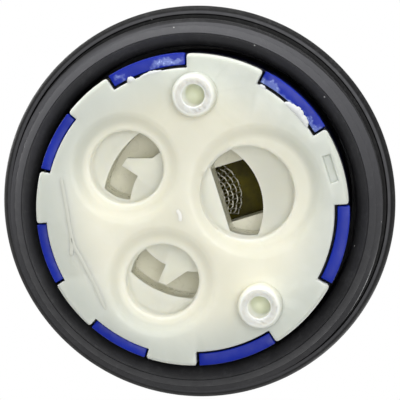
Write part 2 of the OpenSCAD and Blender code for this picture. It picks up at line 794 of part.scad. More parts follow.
// Stop ring on the flats of the sleeve, with a tab that meets the stops on the neck
module limit_ring() {
    z = neck_top + 2 * slide_gap;
    color(red) translate([0, 0, z]) difference() {
        union() {
            cylinder(h = limit_ring_t, r = limit_ring_r);
            rotate([0, 0, 180]) ring_block(sleeve_r, neck_r - neck_chamfer, 0, limit_ring_t, limit_tab_half);
        }
        translate([0, 0, -cut]) linear_extrude(limit_ring_t + 2 * cut) intersection() {
            circle(sleeve_r + pin_gap);
            square([2 * (sleeve_r - flat_depth + pin_gap), 4 * sleeve_r], center = true);
        }
    }
}

base_plate();
cartridge_housing();
screw_ring();
fixed_disc();
moving_disc();
disc_carrier();
carrier_seal();
silencer_mesh();
hot_inlet_seal();
cold_inlet_seal();
outlet_seal();
slip_ring();
guide_sleeve();
guide_o_ring();
lever_pin();
lever();
limit_ring();
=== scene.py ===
import json
import math

import bmesh
import bpy
from mathutils import Matrix, Vector


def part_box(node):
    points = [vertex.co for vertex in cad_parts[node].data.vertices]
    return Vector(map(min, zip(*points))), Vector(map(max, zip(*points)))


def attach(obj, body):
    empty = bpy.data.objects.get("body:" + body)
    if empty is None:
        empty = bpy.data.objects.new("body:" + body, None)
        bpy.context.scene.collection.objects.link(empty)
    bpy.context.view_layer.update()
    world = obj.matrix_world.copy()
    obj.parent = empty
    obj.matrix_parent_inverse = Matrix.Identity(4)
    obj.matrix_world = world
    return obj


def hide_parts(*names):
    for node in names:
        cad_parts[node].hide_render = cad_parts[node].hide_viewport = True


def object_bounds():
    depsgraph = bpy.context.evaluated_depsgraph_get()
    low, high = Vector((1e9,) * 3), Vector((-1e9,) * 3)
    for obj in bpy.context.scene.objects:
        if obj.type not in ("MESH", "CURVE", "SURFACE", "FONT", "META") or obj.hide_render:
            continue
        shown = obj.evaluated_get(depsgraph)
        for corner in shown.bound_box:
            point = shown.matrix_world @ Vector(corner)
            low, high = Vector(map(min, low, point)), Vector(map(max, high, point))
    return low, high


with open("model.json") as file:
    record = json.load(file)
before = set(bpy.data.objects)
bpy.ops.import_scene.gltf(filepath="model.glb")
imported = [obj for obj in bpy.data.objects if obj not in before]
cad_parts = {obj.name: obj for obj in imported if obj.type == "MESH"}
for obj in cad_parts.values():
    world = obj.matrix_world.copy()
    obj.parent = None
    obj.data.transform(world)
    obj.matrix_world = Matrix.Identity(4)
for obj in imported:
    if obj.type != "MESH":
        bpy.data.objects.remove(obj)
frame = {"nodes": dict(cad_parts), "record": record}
solids_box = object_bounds()

# Base plate
# A natural acetal moulding, a little see-through, that seats in the tap body. It holds the three ports
# with their shallow funnels, two hollow locating pegs, and notches in its rim for the housing's tabs.
MM = 0.001
# How wide an edge is rounded, in how many steps, and the share of that width that a plain edge takes
BASE_EDGE, EDGE_STEPS, PLAIN_SHARE = 0.4 * MM, 3, 0.4
# Centre and radius of each port, and of the mouth of its funnel
PORTS = (((-6.97, -5.85), 4.3, (-6.97, -5.85), 6.3), ((6.97, -5.85), 4.3, (6.97, -5.85), 6.3),
         ((0.0, 6.75), 5.5, (0.0, 7.9), 7.6))
FUNNEL_DEPTH, FUNNEL_TAPER = 0.8, 1.2
# Least room beside the lip of a funnel that lets it be rounded, and the share of the room that it takes
LIP_ROOM, LIP_SHARE = 0.78, 0.45
WELD = 0.002 * MM
EDGE_DEG = 28
UPRIGHT = 0.02
RIM_R = 17.5
# Radius of a notch floor in the solid, and on the real base, whose notches are a little shallower
NOTCH_FLOORS = ((16.3, 16.64), (17.0, 17.12))
NOTCH_R = NOTCH_FLOORS[0][1]
# How near a place counts as the same
SAME_R, NEAR = 0.02, 0.05
PEG_X, PEG_Y = 12.84, 4.47
PEG_R, PEG_HOLE_R = 2.55, 1.3
CREAM, CREAM_DEEP = (0.88, 0.865, 0.74), (0.84, 0.825, 0.69)
# Painted shade towards the rim
RIM_GREY = (0.65, 0.68, 0.62)
# Painted light for the walls of the ports
PORT_WHITE = (0.955, 0.937, 0.80)
PEG_WHITE = (0.915, 0.935, 0.85)
# Painted shade, nearly black, for the gaps between the notches and the tabs
NOTCH_SHADE = (0.03, 0.03, 0.035)
# Painted light for the floors of the peg holes
HOLE_FLOOR = (0.53, 0.56, 0.34)
# Heights and radii, in millimetres, between which one tone of the base fades into another
LOW_SIDE, PORT_FADE = (1.0, 0.6), (0.4, 1.2)
RIM_FADE, RIM_GREYED = (10.5, 17.2), 0.95
PEG_FADE, HOLE_FADE = (PEG_R - 0.05, PEG_R - 0.35), (PEG_HOLE_R, PEG_HOLE_R - 0.25)
NOTCH_SHADE_FADE, NOTCH_SHADE_HEIGHT = (NOTCH_R - 0.1, NOTCH_R - 0.02), (0.5, 0.8)


def moulded_copy(node, name, edge, share=lambda middle, upright: 1.0, fitted=lambda corner: corner):
    """A welded copy that stands for a solid, with fitted corners, and edges rounded by their share."""
    shape = bmesh.new()
    shape.from_mesh(frame["nodes"][node].data)
    bmesh.ops.remove_doubles(shape, verts=shape.verts, dist=WELD)
    for corner in shape.verts:
        corner.co = fitted(corner.co / MM) * MM
    weight = shape.edges.layers.float.new("bevel_weight_edge")
    for line in shape.edges:
        if line.calc_face_angle(0.0) > math.radians(EDGE_DEG):
            low, high = (corner.co / MM for corner in line.verts)
            line[weight] = share((low + high) / 2, (high - low).xy.length < UPRIGHT)
    mesh = bpy.data.meshes.new(name)
    shape.to_mesh(mesh)
    shape.free()
    mesh.materials.clear()
    mesh.shade_smooth()
    piece = bpy.data.objects.new(name, mesh)
    bpy.context.scene.collection.objects.link(piece)
    rounding = piece.modifiers.new("soft edges", "BEVEL")
    rounding.width = edge
    rounding.segments = EDGE_STEPS
    rounding.limit_method = "WEIGHT"
    rounding.use_clamp_overlap = False
    rounding.loop_slide = False
    rounding.harden_normals = True
    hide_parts(node)
    return piece


def finish_piece(piece, material, body):
    """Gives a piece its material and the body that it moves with."""
    piece.data.materials.clear()
    piece.data.materials.append(material)
    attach(piece, body)


def add(tree, kind, values=None, **settings):
    """A node of this kind, with its own settings and the values of its inputs."""
    node = tree.nodes.new(kind)
    for key, value in settings.items():
        setattr(node, key, value)
    for key, value in (values or {}).items():
        node.inputs[key].default_value = value
    return node


def plug(tree, slot, term):
    """Joins an output to an input, or sets the input where the term is a plain number."""
    if isinstance(term, (int, float)):
        slot.default_value = term
    else:
        tree.links.new(term, slot)


def calc(tree, operation, *terms):
    """The output of one Math node on outputs or plain numbers."""
    node = add(tree, "ShaderNodeMath", operation=operation)
    for slot, term in zip(node.inputs, terms):
        plug(tree, slot, term)
    return node.outputs[0]


def step(tree, value, low, high, to_low=0.0, to_high=1.0):
    """A soft step of a value from low to high."""
    node = add(tree, "ShaderNodeMapRange", {"From Min": low, "From Max": high, "To Min": to_low,
                                            "To Max": to_high}, interpolation_type="SMOOTHSTEP")
    plug(tree, node.inputs["Value"], value)
    return node.outputs[0]


def blend(tree, factor, first, second):
    """A colour between two, each an output or a plain colour."""
    node = add(tree, "ShaderNodeMix", data_type="RGBA")
    plug(tree, node.inputs[0], factor)
    for slot, colour in ((node.inputs[6], first), (node.inputs[7], second)):
        if isinstance(colour, tuple):
            slot.default_value = (*colour, 1.0)
        else:
            tree.links.new(colour, slot)
    return node.outputs[2]


def shader_group(name, inputs, outputs):
    """A shader node group with named values in and out. Gives it with its two end nodes."""
    group = bpy.data.node_groups.new(name, "ShaderNodeTree")
    for label, value in inputs:
        socket = group.interface.new_socket(name=label, in_out="INPUT", socket_type="NodeSocketFloat")
        socket.default_value = value
    for label in outputs:
        group.interface.new_socket(name=label, in_out="OUTPUT", socket_type="NodeSocketFloat")
    return group, group.nodes.new("NodeGroupInput"), group.nodes.new("NodeGroupOutput")


# Skin of a moulding: slow drifts of tone, fine grain from the tool, and uneven gloss. Most of a noise
# lies in this range.
NOISE_RANGE = (0.3, 0.7)
skin, skin_in, skin_out = shader_group(
    "moulded skin", [("Drift Scale", 120.0), ("Grain Scale", 6000.0)], ["Drift", "Grain", "Gloss"])
place = add(skin, "ShaderNodeTexCoord").outputs["Object"]
drift = add(skin, "ShaderNodeTexNoise", {"Detail": 4.0, "Roughness": 0.55})
grain = add(skin, "ShaderNodeTexNoise", {"Detail": 3.0, "Roughness": 0.6})
gloss = add(skin, "ShaderNodeTexNoise", {"Scale": 900.0, "Detail": 5.0, "Roughness": 0.65})
for texture in (drift, grain, gloss):
    skin.links.new(place, texture.inputs["Vector"])
skin.links.new(skin_in.outputs["Drift Scale"], drift.inputs["Scale"])
skin.links.new(skin_in.outputs["Grain Scale"], grain.inputs["Scale"])
skin.links.new(step(skin, drift.outputs[0], *NOISE_RANGE), skin_out.inputs["Drift"])
skin.links.new(grain.outputs[0], skin_out.inputs["Grain"])
skin.links.new(step(skin, gloss.outputs[0], *NOISE_RANGE), skin_out.inputs["Gloss"])

# Where a point lies: its place, its height, its distance from the axis, in millimetres, and its direction
spot, _, spot_out = shader_group("place on the cartridge", [], ["X", "Y", "Height", "Radius", "Degrees"])
scaled = add(spot, "ShaderNodeVectorMath", operation="SCALE")
scaled.inputs["Scale"].default_value = 1 / MM
spot.links.new(add(spot, "ShaderNodeTexCoord").outputs["Object"], scaled.inputs[0])
split = add(spot, "ShaderNodeSeparateXYZ")
spot.links.new(scaled.outputs[0], split.inputs[0])
for label, output in zip(("X", "Y", "Height"), split.outputs):
    spot.links.new(output, spot_out.inputs[label])
squares = [calc(spot, "MULTIPLY", output, output) for output in split.outputs[:2]]
spot.links.new(calc(spot, "SQRT", calc(spot, "ADD", *squares)), spot_out.inputs["Radius"])
turned_by = calc(spot, "ARCTAN2", split.outputs["Y"], split.outputs["X"])
spot.links.new(calc(spot, "DEGREES", turned_by), spot_out.inputs["Degrees"])


def moulding(name, light, dark, gloss_range, drift_scale=120.0, grain_scale=6000.0, grain_depth=0.01 * MM):
    """A finish that drifts between two tones. Gives its material, tree, shader and tone output."""
    material = bpy.data.materials.new(name)
    material.use_nodes = True
    tree = material.node_tree
    shader = tree.nodes["Principled BSDF"]
    surface = add(tree, "ShaderNodeGroup", {"Drift Scale": drift_scale, "Grain Scale": grain_scale},
                  node_tree=skin)
    tone = blend(tree, surface.outputs["Drift"], light, dark)
    shine = step(tree, surface.outputs["Gloss"], 0.0, 1.0, *gloss_range)
    relief = add(tree, "ShaderNodeBump", {"Strength": 0.5, "Distance": grain_depth})
    tree.links.new(tone, shader.inputs["Base Color"])
    tree.links.new(shine, shader.inputs["Roughness"])
    tree.links.new(surface.outputs["Grain"], relief.inputs["Height"])
    tree.links.new(relief.outputs["Normal"], shader.inputs["Normal"])
    return material, tree, shader, tone


acetal, tree, shader, tone = moulding("natural acetal", CREAM, CREAM_DEEP, (0.34, 0.5), drift_scale=110.0,
                                      grain_scale=2500.0, grain_depth=0.012 * MM)
where = add(tree, "ShaderNodeGroup", node_tree=spot)
peg_dx = calc(tree, "SUBTRACT", calc(tree, "ABSOLUTE", where.outputs["X"]), PEG_X)
peg_dy = calc(tree, "SUBTRACT", where.outputs["Y"], PEG_Y)
from_peg = calc(tree, "SQRT", calc(tree, "ADD", calc(tree, "MULTIPLY", peg_dx, peg_dx),
                                   calc(tree, "MULTIPLY", peg_dy, peg_dy)))
low_side = step(tree, where.outputs["Height"], *LOW_SIDE)
near_rim = calc(tree, "MULTIPLY", step(tree, where.outputs["Radius"], *RIM_FADE, 0.0, RIM_GREYED), low_side)
on_peg = calc(tree, "MULTIPLY", step(tree, from_peg, *PEG_FADE), low_side)
in_hole = calc(tree, "MULTIPLY", step(tree, from_peg, *HOLE_FADE), low_side)
# Painted light: the walls of the ports are lightened, as light coming through the translucent acetal lights
# them
tone = blend(tree, step(tree, where.outputs["Height"], *PORT_FADE), tone, PORT_WHITE)
# Painted shade: the low faces turn greyer towards the rim, where less light scatters back out of the acetal
tone = blend(tree, near_rim, tone, RIM_GREY)
tone = blend(tree, on_peg, tone, PEG_WHITE)
# Painted shade: the gaps between the notches and the tabs are darkened nearly to black
in_notch = calc(tree, "MULTIPLY", step(tree, where.outputs["Radius"], *NOTCH_SHADE_FADE),
                step(tree, where.outputs["Height"], *NOTCH_SHADE_HEIGHT))
tone = blend(tree, in_notch, tone, NOTCH_SHADE)
# Painted light: the floors of the peg holes are tinted yellow-green, as light shining through the thin acetal
# makes them look
tone = blend(tree, in_hole, tone, HOLE_FLOOR)
tree.links.new(tone, shader.inputs["Base Color"])
shader.inputs["Subsurface Weight"].default_value = 1.0
shader.inputs["Subsurface Radius"].default_value = (1.0, 0.95, 0.85)
shader.inputs["Subsurface Scale"].default_value = 0.9 * MM


def base_share(middle, upright):
    """The lips of the funnels and the rim's corners take the whole width, other low edges a part of it."""
    if middle.z > FUNNEL_DEPTH + NEAR:
        return 1.0 if upright and middle.xy.length > RIM_R else 0.0
    for port, port_r, mouth, mouth_r in PORTS:
        off_bore = abs((middle.xy - Vector(port)).length - port_r)
        off_floor = abs((middle.xy - Vector(mouth)).length - mouth_r + FUNNEL_TAPER)
        if middle.z > FUNNEL_DEPTH - NEAR and min(off_bore, off_floor) < NEAR:
            room = off_bore + off_floor
            return min(LIP_SHARE * room / (BASE_EDGE / MM), 1.0) if room > LIP_ROOM else 0.0
        if abs((middle.xy - Vector(mouth)).length - mouth_r) < NEAR:
            return 1.0
    from_peg = min((middle.xy - Vector((x, PEG_Y))).length for x in (-PEG_X, PEG_X))
    return 0.0 if from_peg < PEG_HOLE_R + NEAR and middle.z > 0 else PLAIN_SHARE


def at_notch_floor(corner):
    """A corner of the solid, moved out where it lies on the floor of a notch."""
    for solid_r, real_r in NOTCH_FLOORS:
        if abs(corner.xy.length - solid_r) < SAME_R:
            return Vector((*(corner.xy * real_r / solid_r), corner.z))
    return corner


base = moulded_copy("base_plate", "base_moulding", BASE_EDGE, base_share, at_notch_floor)
finish_piece(base, acetal, "cartridge_body")

# Marks of the base's moulding
# A low flow line runs across the inlet side and forks once, and the gate left a small crescent near the
# middle. At two tabs the notch edge was rubbed up into ragged white flash as the housing snapped on.
FLOW_LINES = (
    ((9.6, -13.0), (8.9, -13.35), (4.8, -13.9), (0.6, -14.45), (-1.7, -14.1), (-5.2, -13.5), (-7.8, -13.2),
     (-9.7, -12.7)),
    ((1.6, -14.35), (0.2, -14.7), (-1.2, -15.2)))
GATE_MARK = ((0.75, -1.75), (0.35, -1.5), (-0.1, -1.42), (-0.6, -1.55), (-0.9, -1.85))
FLOW_WIDTH, FLOW_HEIGHT, FLOW_SINK = 0.70 * MM, 0.18 * MM, 0.066 * MM
FLOW_SIDES = 10
# A line tapers near its ends, over this share of its length, to this share of its size
LINE_TAPER, LINE_END = (-0.01, 0.12), 0.1
GATE_WHITE = (0.94, 0.93, 0.86)
FLASH_WHITE = (0.74, 0.76, 0.75)
FLOW_STEP = 0.3 * MM
FLASH_ROOT = 0.25
FLASH_LOW, FLASH_HIGH = 0.03 * MM, 0.32 * MM
FLASH_MIDDLE, FLASH_RIM = 1.5 * FLASH_LOW, 0.75 * FLASH_HIGH
FLASH_BELLY, FLASH_END = 0.65, 0.02
FLASH_STEP_DEG = 0.35
# Radii over which the gate's white gives way to the flow lines, and these to the flash
GATE_FADE, FLASH_FADE = (6.0, 13.0), (15.6, 16.4)
# Each run of flash: its first and last angle, how far it reaches out and how ragged it is
FLASH_RUNS = ((57.8, 71.2, 0.75, 0.2), (45.5, 48.5, 0.22, 0.4), (-9.2, -6.0, 0.55, 0.2),
              (-3.8, 5.5, 0.24, 0.3))


def geometry_tree(name, sizes):
    """A Geometry Nodes tree with a named input for each size. Gives it with its two end nodes."""
    tree = bpy.data.node_groups.new(name, "GeometryNodeTree")
    tree.interface.new_socket(name="Geometry", in_out="INPUT", socket_type="NodeSocketGeometry")
    for label in sizes:
        tree.interface.new_socket(name=label, in_out="INPUT", socket_type="NodeSocketFloat")
    tree.interface.new_socket(name="Geometry", in_out="OUTPUT", socket_type="NodeSocketGeometry")
    return tree, tree.nodes.new("NodeGroupInput"), tree.nodes.new("NodeGroupOutput")


def chain(tree, start, *nodes):
    """Runs geometry through nodes one after another and gives the last output."""
    for node in nodes:
        tree.links.new(start, node.inputs[0])
        start = node.outputs[0]
    return start


def close_tree(tree, shape, end, material):
    """Ends a tree in real, smooth faces with their material."""
    shape = chain(tree, shape, add(tree, "GeometryNodeSetShadeSmooth"),
                  add(tree, "GeometryNodeRealizeInstances"),
                  add(tree, "GeometryNodeSetMaterial", {"Material": material}))
    tree.links.new(shape, end.inputs["Geometry"])


def grown(name, tree, sizes, start=None):
    """The plain mesh that a tree makes with these sizes, from nothing or from a start mesh."""
    host = bpy.data.objects.new(name + "_host", start or bpy.data.meshes.new(name + "_host"))
    bpy.context.scene.collection.objects.link(host)
    maker = host.modifiers.new("maker", "NODES")
    maker.node_group = tree
    for socket in tree.interface.items_tree:
        if socket.in_out == "INPUT" and socket.name in sizes:
            maker[socket.identifier] = sizes[socket.name]
    bpy.context.view_layer.update()
    mesh = bpy.data.meshes.new_from_object(host.evaluated_get(bpy.context.evaluated_depsgraph_get()))
    bpy.data.objects.remove(host)
    mesh.name = name
    return mesh


def show(name, mesh):
    """An object at the origin for a finished mesh."""
    piece = bpy.data.objects.new(name, mesh)
    bpy.context.scene.collection.objects.link(piece)
    return piece


def ragged(t):
    """An uneven value from 0 to 1 that repeats each time the script runs."""
    return 0.5 + 0.22 * math.sin(1.1 * t + 0.4) + 0.16 * math.sin(2.9 * t) + 0.12 * math.sin(6.1 * t + 1.1)


rubbed, tree, shader, tone = moulding("rubbed acetal", (0.645, 0.655, 0.575), (0.61, 0.62, 0.54), (0.4, 0.55))
where = add(tree, "ShaderNodeGroup", node_tree=spot)
tone = blend(tree, step(tree, where.outputs["Radius"], *GATE_FADE), GATE_WHITE, tone)
tone = blend(tree, step(tree, where.outputs["Radius"], *FLASH_FADE), tone, FLASH_WHITE)
tree.links.new(tone, shader.inputs["Base Color"])
lines, lines_in, lines_out = geometry_tree("moulded line", ("Width", "Height", "Step"))
path = add(lines, "GeometryNodeMeshToCurve")
smooth_path = add(lines, "GeometryNodeCurveSplineType", spline_type="CATMULL_ROM")
even_path = add(lines, "GeometryNodeResampleCurve", mode="LENGTH")
flat_path = add(lines, "GeometryNodeSetCurveNormal", mode="Z_UP")
lines.links.new(lines_in.outputs["Step"], even_path.inputs["Length"])
swept = add(lines, "GeometryNodeCurveToMesh", {"Fill Caps": True})
bead = add(lines, "GeometryNodeCurvePrimitiveCircle", {"Resolution": FLOW_SIDES, "Radius": 0.5})
squeezed = add(lines, "GeometryNodeTransform")
bead_size = add(lines, "ShaderNodeCombineXYZ", {"Z": 1.0})
lines.links.new(lines_in.outputs["Width"], bead_size.inputs["X"])
lines.links.new(lines_in.outputs["Height"], bead_size.inputs["Y"])
lines.links.new(bead_size.outputs[0], squeezed.inputs["Scale"])
lines.links.new(chain(lines, bead.outputs[0], squeezed), swept.inputs["Profile Curve"])
part_way = add(lines, "GeometryNodeSplineParameter").outputs["Factor"]
from_end = calc(lines, "MINIMUM", part_way, calc(lines, "SUBTRACT", 1.0, part_way))
lines.links.new(step(lines, from_end, *LINE_TAPER, LINE_END, 1.0), swept.inputs["Scale"])
close_tree(lines, chain(lines, lines_in.outputs["Geometry"], path, smooth_path, even_path, flat_path, swept),
           lines_out, rubbed)
routes = bpy.data.meshes.new("routes")
corners, edges = [], []
for route in (*FLOW_LINES, GATE_MARK):
    edges += [(len(corners) + i, len(corners) + i + 1) for i in range(len(route) - 1)]
    corners += [(x * MM, y * MM, FLOW_SINK) for x, y in route]
routes.from_pydata(corners, edges, [])
marks = grown("base_marks", lines, {"Width": FLOW_WIDTH, "Height": FLOW_HEIGHT, "Step": FLOW_STEP}, routes)

shape = bmesh.new()
shape.from_mesh(marks)
for first, last, reach, roughness in FLASH_RUNS:
    count = round((last - first) / FLASH_STEP_DEG)
    rows = []
    for i in range(count + 1):
        t = i / count
        direction = first + (last - first) * t
        angle = math.radians(direction)
        swell = max(math.sin(math.pi * t), FLASH_END) ** 0.5
        out = NOTCH_R + reach * swell * (1 - roughness + roughness * 2 * ragged(direction))
        belly = (1 - FLASH_BELLY) * NOTCH_R + FLASH_BELLY * out
        section = ((NOTCH_R - FLASH_ROOT, FLASH_HIGH), (NOTCH_R - FLASH_ROOT, FLASH_LOW),
                   (belly, FLASH_MIDDLE), (out, FLASH_RIM), (out, FLASH_HIGH))
        rows.append([shape.verts.new((r * MM * math.cos(angle), r * MM * math.sin(angle), z))
                     for r, z in section])
    for near, far in zip(rows, rows[1:]):
        for i in range(len(near)):
            j = (i + 1) % len(near)
            shape.faces.new((near[i], near[j], far[j], far[i]))
    shape.faces.new(reversed(rows[0]))
    shape.faces.new(rows[-1])
bmesh.ops.recalc_face_normals(shape, faces=shape.faces)
shape.to_mesh(marks)
shape.free()
marks.shade_smooth()
finish_piece(show("base_marks", marks), rubbed, "cartridge_body")

# Port seals
# Three moulded rubber rings in grooves of the base. They press the fixed disc up and keep the hot water,
# the cold water and the mixed water apart.


def dress(node, material):
    """Gives a solid that stays in view its finish."""
    solid = frame["nodes"][node]
    solid.data.materials.clear()
    solid.data.materials.append(material)


rubber = moulding("seal rubber", (0.024, 0.024, 0.024), (0.014, 0.014, 0.014), (0.5, 0.75),
                  grain_depth=0.02 * MM)[0]
for seal in ("hot_inlet_seal", "cold_inlet_seal", "outlet_seal"):
    dress(seal, rubber)

# Ceramic discs
# Two lapped alumina discs that lie face to face. The fixed one has the three ports, and the moving one
# covers and uncovers them with its mixing slot.
ceramic, tree, shader, tone = moulding(
    "lapped ceramic", (0.83, 0.815, 0.69), (0.77, 0.755, 0.62), (0.25, 0.4), grain_scale=9000.0,
    grain_depth=0.003 * MM)
shader.inputs["Subsurface Weight"].default_value = 0.4
shader.inputs["Subsurface Radius"].default_value = (1.0, 0.95, 0.8)
shader.inputs["Subsurface Scale"].default_value = 1.0 * MM
for disc in ("fixed_disc", "moving_disc"):
    dress(disc, ceramic)

# Disc carrier
# A dark moulding that slides the moving disc. Its underside is the roof of the mixing slot, which shows
# through the outlet port, and a rubber ring seals it to the disc.
olive, tree, shader, tone = moulding("dark olive moulding", (0.125, 0.105, 0.003), (0.050, 0.042, 0.006),
                                     (0.45, 0.6), drift_scale=260.0)
shader.inputs["Specular IOR Level"].default_value = 0.1
dress("disc_carrier", olive)
dress("carrier_seal", rubber)

# Silencer mesh
# A strip of plain woven stainless wire, bent to a curve and pushed into the mixing slot. It breaks up the
# stream so that the tap runs quietly.
WIRE_R = 0.085 * MM
WIRE_PITCH, WIRE_PITCH_UP = 0.58 * MM, 1.2 * MM
STRIP_R, STRIP_LEAN = 3.0 * MM, 1.7 * MM
STRIP_CENTRE = 0.1 * MM
STRIP_HALF_ANGLE = math.radians(42)
STRIP_HALF_WIDTH = STRIP_HALF_ANGLE * (STRIP_R + STRIP_LEAN / 2)
WIRE_POINTS_PER_PITCH = 8
WIRE_SIDES = 6
WIRE_CRIMP = 0.6
strip_low, strip_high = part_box("silencer_mesh")


def metal(name, light, dark, gloss_range):
    """A metal finish, smoother than a moulding."""
    material, tree, shader, tone = moulding(name, light, dark, gloss_range, grain_depth=0.0012 * MM)
    shader.inputs["Metallic"].default_value = 1.0
    return material


def point(tree, *terms):
    """The output of a node that joins three coordinates, each an output or a plain number."""
    node = add(tree, "ShaderNodeCombineXYZ")
    for slot, term in zip(node.inputs, terms):
        plug(tree, slot, term)
    return node.outputs[0]


steel = metal("stainless", (0.86, 0.84, 0.78), (0.74, 0.72, 0.67), (0.26, 0.42))
WEAVE_SIZES = {"Pitch": WIRE_PITCH, "Pitch Up": WIRE_PITCH_UP, "Wire Radius": WIRE_R, "Strip Radius": STRIP_R,
               "Lean": STRIP_LEAN, "Half Width": STRIP_HALF_WIDTH, "Half Angle": STRIP_HALF_ANGLE,
               "Height": strip_high.z - strip_low.z - 2 * WIRE_R, "Centre": STRIP_CENTRE,
               "Lower Edge": strip_low.z + WIRE_R}
weave, weave_in, weave_out = geometry_tree("woven strip", WEAVE_SIZES)
pitch, pitch_up, wire_r, strip_r, lean, half_width, half_angle, height, centre, lower = weave_in.outputs[1:11]
along = add(weave, "ShaderNodeSeparateXYZ")
weave.links.new(add(weave, "GeometryNodeInputPosition").outputs[0], along.inputs[0])
across, rise = along.outputs["X"], along.outputs["Z"]
left_edge = calc(weave, "MULTIPLY", half_width, -1.0)
wires_across = calc(weave, "ROUND", calc(weave, "DIVIDE", calc(weave, "MULTIPLY", half_width, 2.0), pitch))
wires_up = calc(weave, "FLOOR", calc(weave, "DIVIDE", height, pitch_up))
half_waves = calc(weave, "ADD", calc(weave, "DIVIDE", across, pitch), calc(weave, "DIVIDE", rise, pitch_up))
wave = calc(weave, "COSINE", calc(weave, "MULTIPLY", half_waves, math.pi))
wave = calc(weave, "MULTIPLY", wave, calc(weave, "MULTIPLY", wire_r, WIRE_CRIMP))
turn = calc(weave, "MULTIPLY", calc(weave, "DIVIDE", across, half_width), half_angle)
leaned = calc(weave, "ADD", strip_r, calc(weave, "MULTIPLY", lean, calc(weave, "DIVIDE", rise, height)))
all_wires = add(weave, "GeometryNodeJoinGeometry")
# The upright wires pass over where the cross wires pass under
origin, left_end, right_end = (0.0, 0.0, 0.0), (left_edge, 0.0, 0.0), (half_width, 0.0, 0.0)
for over, start, end, count, row_start, row_step, crossings in (
        (1.0, origin, (0.0, 0.0, height), wires_across, left_end, (pitch, 0.0, 0.0), wires_up),
        (-1.0, left_end, right_end, wires_up, origin, (0.0, 0.0, pitch_up), wires_across)):
    wire = add(weave, "GeometryNodeCurvePrimitiveLine")
    weave.links.new(point(weave, *start), wire.inputs["Start"])
    weave.links.new(point(weave, *end), wire.inputs["End"])
    fine = add(weave, "GeometryNodeResampleCurve")
    weave.links.new(calc(weave, "MULTIPLY", crossings, WIRE_POINTS_PER_PITCH), fine.inputs["Count"])
    row = add(weave, "GeometryNodeMeshLine")
    weave.links.new(calc(weave, "ADD", count, 1.0), row.inputs["Count"])
    weave.links.new(point(weave, *row_start), row.inputs["Start Location"])
    weave.links.new(point(weave, *row_step), row.inputs["Offset"])
    laid = add(weave, "GeometryNodeInstanceOnPoints")
    weave.links.new(chain(weave, wire.outputs[0], fine), laid.inputs["Instance"])
    bent = add(weave, "GeometryNodeSetPosition")
    reach = calc(weave, "ADD", leaned, calc(weave, "MULTIPLY", wave, over))
    ahead = calc(weave, "MULTIPLY", reach, calc(weave, "COSINE", turn))
    weave.links.new(point(weave, calc(weave, "MULTIPLY", reach, calc(weave, "SINE", turn)),
                          calc(weave, "ADD", centre, ahead), calc(weave, "ADD", lower, rise)),
                    bent.inputs["Position"])
    weave.links.new(chain(weave, row.outputs[0], laid, add(weave, "GeometryNodeRealizeInstances"), bent),
                    all_wires.inputs[0])
wire_round = add(weave, "GeometryNodeCurvePrimitiveCircle", {"Resolution": WIRE_SIDES})
weave.links.new(wire_r, wire_round.inputs["Radius"])
drawn = add(weave, "GeometryNodeCurveToMesh", {"Fill Caps": True})
weave.links.new(wire_round.outputs[0], drawn.inputs["Profile Curve"])
close_tree(weave, chain(weave, all_wires.outputs[0], drawn), weave_out, steel)
strip = show("woven_strip", grown("woven_strip", weave, WEAVE_SIZES))
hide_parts("silencer_mesh")
finish_piece(strip, steel, "shuttle")

# Guide sleeve
# The turning core of the cartridge: a grey moulding whose rails guide the carrier and whose slot holds
# the lever on its pin. A rubber ring seals it in the neck, and a slippery washer takes the thrust.
SLEEVE_EDGE = 0.15 * MM
grey = moulding("grey moulding", (0.36, 0.37, 0.38), (0.30, 0.31, 0.32), (0.3, 0.5))[0]
slip = moulding("white slip plastic", (0.88, 0.88, 0.86), (0.82, 0.82, 0.80), (0.3, 0.45))[0]
finish_piece(moulded_copy("guide_sleeve", "sleeve_moulding", SLEEVE_EDGE), grey, "sleeve")
dress("guide_o_ring", rubber)
dress("slip_ring", slip)

# Lever and pin
# The lever is nickel plated brass with a square shank for the handle and a ball that drives the carrier.
# It tilts on a plain steel pin across the sleeve, and its end is tapped for the handle's screw.
LEVER_EDGE = 0.2 * MM
SCREW_PITCH = 0.8 * MM
SCREW_HOLE_R = 2.1 * MM
SCREW_RIDGE = 0.22 * MM
SCREW_ROOT, SCREW_CREST = 0.75 * SCREW_PITCH, 0.2 * SCREW_PITCH
SCREW_TURNS = 12
THREAD_POINTS_PER_TURN = 72
# A ridge fades over this part of a turn, to this share of its size
FADE_TURNS, FADE_END = 0.2, 0.05
# Length of the shank's chamfered end, and the share of the rounding that its edges take
CHAMFERED_END, END_SHARE = 3.0, 0.15
nickel = metal("nickel plating", (0.60, 0.575, 0.53), (0.55, 0.53, 0.49), (0.33, 0.37))
dress("lever_pin", steel)
screw = next(mount for mount in frame["record"]["mounts"] if mount["name"] == "handle_screw")
screw_axis = Vector(screw["axis"])


def lever_share(middle, upright):
    """The edges of the chamfered end stay crisp, with a small share, and the others take the whole width."""
    below_end = (Vector(screw["pos_m"]) / MM - middle).dot(screw_axis)
    return END_SHARE if below_end < CHAMFERED_END else 1.0


finish_piece(moulded_copy("lever", "lever_forging", LEVER_EDGE, lever_share), nickel, "lever")

